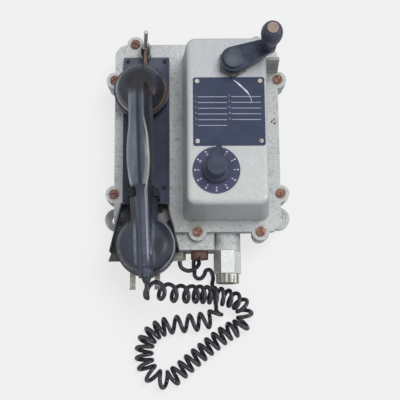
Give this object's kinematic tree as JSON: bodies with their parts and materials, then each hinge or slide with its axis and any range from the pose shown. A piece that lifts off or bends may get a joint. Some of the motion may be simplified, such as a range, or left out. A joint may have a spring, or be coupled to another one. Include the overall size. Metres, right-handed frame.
{
  "type": "sound-powered telephone",
  "caption": "Wall telephone set in a cast case with a hand generator crank, a station selector, and a handset in a cradle with a curly cord.",
  "frame": {"origin": "on the back face, midway between the two columns of cover screws and midway between the upper and lower side screws", "axes": "the set lies on its back: +Z leaves its front, +Y is its top when it hangs on a wall, +X is its right side seen from the front"},
  "size_m": [0.207, 0.3962, 0.1778],
  "materials": {
    "case_paint": "speckled hammered silver-grey paint, worn",
    "black_rubber": "matt black rubber",
    "rusty_screw": "slotted steel screws, brown with rust",
    "panel_black": "moulded blue-black panel",
    "dark_screw": "dulled steel",
    "cradle_black": "black painted sheet",
    "plated_steel": "dulled zinc plating",
    "spring_steel": "bright steel",
    "latch_metal": "grey steel with brown tarnish",
    "plate_metal": "blue-grey etched plate with white rules",
    "dial_plastic": "dark engraved dial with white numbers",
    "knob_plastic": "dark moulded plastic",
    "brass": "turned brass",
    "wafer_board": "brown laminated board",
    "bush_steel": "machined steel",
    "crank_black": "blue-black painted crank",
    "copper": "brown copper",
    "cast_alloy": "cast light alloy",
    "magnet_paint": "red painted magnets",
    "terminal_brown": "brown moulded block",
    "loom_cloth": "laced cloth-covered wires",
    "bright_plating": "bright plated brass",
    "rusty_plug": "brown rusted steel",
    "olive_brass": "tarnished olive brass",
    "white_plastic": "off-white plastic",
    "handset_black": "polished blue-black moulding",
    "ring_grey": "dark grey ring",
    "cord_rubber": "black rubber-covered curly cord"
  },
  "bodies": {
    "case": {"base_casting": "case_paint", "case_gasket": "black_rubber", "front_cover": "case_paint", "cover_screws": "rusty_screw", "back_panel": "panel_black", "panel_screws": "dark_screw", "cradle_cup": "cradle_black", "lower_rest": "plated_steel", "latch_bracket": "plated_steel", "latch_pin": "plated_steel", "latch_spring": "spring_steel", "name_plate": "plate_metal", "plate_screws": "plated_steel", "dial_disc": "dial_plastic", "selector_bush": "brass", "switch_frame": "plated_steel", "switch_wafers": "wafer_board", "crank_bush": "bush_steel", "bush_nuts": "brass", "generator_frame": "cast_alloy", "generator_screws": "dark_screw", "generator_magnets": "magnet_paint", "howler_body": "knob_plastic", "howler_diaphragm": "cast_alloy", "terminal_block": "terminal_brown", "terminal_screws": "brass", "wiring_loom": "loom_cloth", "gland_body": "bright_plating", "gland_seal": "black_rubber", "gland_nut": "bright_plating", "blanking_plug": "rusty_plug", "cord_gland": "olive_brass", "hook_frame": "plated_steel", "hook_spring": "spring_steel", "handset_cord": "cord_rubber"},
    "crank": {"crank_shaft": "spring_steel", "crank_arm": "crank_black", "crank_screw": "dark_screw", "grip_pin": "copper", "drive_gear": "brass"},
    "crank_grip": {"grip": "knob_plastic"},
    "generator_rotor": {"armature": "copper", "armature_shaft": "spring_steel", "pinion": "spring_steel"},
    "selector": {"selector_knob": "knob_plastic", "knob_screw": "dark_screw", "selector_shaft": "spring_steel", "selector_rotor": "brass"},
    "latch": {"latch_arm": "latch_metal"},
    "plunger": {"hook_plunger": "white_plastic"},
    "handset": {"handset_body": "handset_black", "ear_cap": "handset_black", "ear_ring": "copper", "mouth_cap": "handset_black", "mouth_ring": "ring_grey", "receiver_capsule": "cast_alloy", "transmitter_capsule": "cast_alloy", "handset_gland": "handset_black", "cord_boot": "black_rubber"}
  },
  "joints": [
    {"name": "crank_turn", "type": "hinge", "parent": "case", "child": "crank", "pos_m": [0.0373, 0.05955, 0.114], "axis": [0, 0, 1], "continuous": true},
    {"name": "grip_spin", "type": "hinge", "parent": "crank", "child": "crank_grip", "pos_m": [0.0742, 0.07446, 0.1323], "axis": [0, 0, 1], "continuous": true},
    {"name": "armature_spin", "type": "hinge", "parent": "case", "child": "generator_rotor", "pos_m": [0.0373, 0.02955, 0.06], "axis": [0, 0, 1], "continuous": true},
    {"name": "selector_turn", "type": "hinge", "parent": "case", "child": "selector", "pos_m": [0.019, -0.05305, 0.114], "axis": [0, 0, -1], "range_deg": [0, 330]},
    {"name": "latch_swing", "type": "hinge", "parent": "case", "child": "latch", "pos_m": [-0.056, 0.098, 0.062], "axis": [-1, 0, 0], "range_deg": [0, 60], "stiffness_Nm_per_rad": 0.03, "springref_deg": -34.38},
    {"name": "hook_plunger_travel", "type": "slide", "parent": "case", "child": "plunger", "axis": [0, 0, 1], "range_m": [0, 0.005], "deforming": ["hook_spring"]},
    {"name": "handset_lift", "type": "slide", "parent": "case", "child": "handset", "axis": [0, 0, 1], "range_m": [0, 0.08]}
  ],
  "couplings": [
    {"joint": "armature_spin", "follows": "crank_turn", "ratio": -5},
    {"joint": "hook_plunger_travel", "follows": "handset_lift", "ratio": 0.0625}
  ]
}
